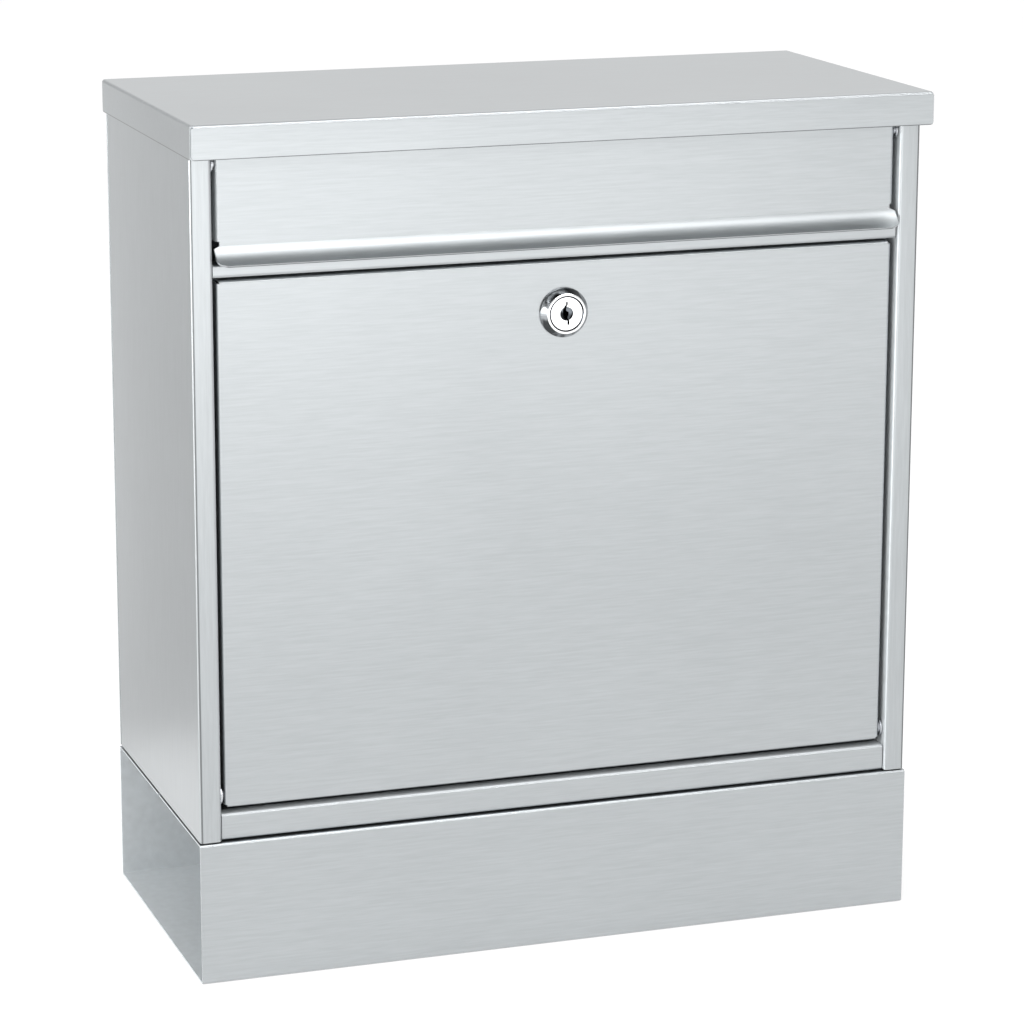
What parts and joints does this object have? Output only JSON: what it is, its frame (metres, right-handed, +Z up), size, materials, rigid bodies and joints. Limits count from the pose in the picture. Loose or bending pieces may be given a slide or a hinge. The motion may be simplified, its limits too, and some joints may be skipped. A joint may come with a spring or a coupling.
{
  "type": "wall mounted mailbox",
  "caption": "Flat wall mailbox in folded stainless sheet, with a top-hinged slot flap, a drop-down cam-locked door and an open newspaper sleeve under it.",
  "frame": {"origin": "middle of the back panel's wall side", "axes": "+Z up, +Y into the wall, the front with its flap and door looks along -Y"},
  "size_m": [0.3684, 0.176, 0.4143],
  "materials": {
    "stainless_sheet": "satin stainless sheet, brushed along its width",
    "zinc_plated_steel": "bright zinc plating",
    "chromed_lock": "polished chrome plating",
    "buffer_rubber": "soft black rubber"
  },
  "bodies": {
    "housing": {"back_panel": "stainless_sheet", "left_side_panel": "stainless_sheet", "right_side_panel": "stainless_sheet", "floor_pan": "stainless_sheet", "slot_rail": "stainless_sheet", "roof_lid": "stainless_sheet", "newspaper_sleeve": "stainless_sheet", "roof_stud_left_1": "zinc_plated_steel", "roof_stud_left_2": "zinc_plated_steel", "roof_stud_right_1": "zinc_plated_steel", "roof_stud_right_2": "zinc_plated_steel", "roof_nut_left_1": "zinc_plated_steel", "roof_nut_left_2": "zinc_plated_steel", "roof_nut_right_1": "zinc_plated_steel", "roof_nut_right_2": "zinc_plated_steel", "sleeve_rivet_1": "zinc_plated_steel", "sleeve_rivet_2": "zinc_plated_steel", "sleeve_rivet_3": "zinc_plated_steel", "sleeve_rivet_4": "zinc_plated_steel", "sleeve_rivet_5": "zinc_plated_steel", "sleeve_rivet_6": "zinc_plated_steel", "door_buffer_left": "buffer_rubber", "door_buffer_right": "buffer_rubber", "flap_buffer_left": "buffer_rubber", "flap_buffer_right": "buffer_rubber"},
    "door": {"door_panel": "stainless_sheet", "door_hinge_pin_left": "zinc_plated_steel", "door_hinge_pin_right": "zinc_plated_steel", "lock_housing": "chromed_lock", "lock_nut": "zinc_plated_steel"},
    "lock": {"lock_plug": "chromed_lock", "lock_cam": "zinc_plated_steel", "cam_washer": "zinc_plated_steel", "cam_screw": "zinc_plated_steel"},
    "flap": {"flap_panel": "stainless_sheet", "flap_hinge_pin_left": "zinc_plated_steel", "flap_hinge_pin_right": "zinc_plated_steel"}
  },
  "joints": [
    {"name": "door_hinge", "type": "hinge", "parent": "housing", "child": "door", "pos_m": [0, -0.1578, -0.15015], "axis": [1, 0, 0], "range_deg": [0, 115]},
    {"name": "flap_hinge", "type": "hinge", "parent": "housing", "child": "flap", "pos_m": [0, -0.1584, 0.15275], "axis": [-1, 0, 0], "range_deg": [0, 60]},
    {"name": "lock_turn", "type": "hinge", "parent": "door", "child": "lock", "pos_m": [0, -0.162, 0.07355], "axis": [0, -1, 0], "range_deg": [0, 90]}
  ]
}
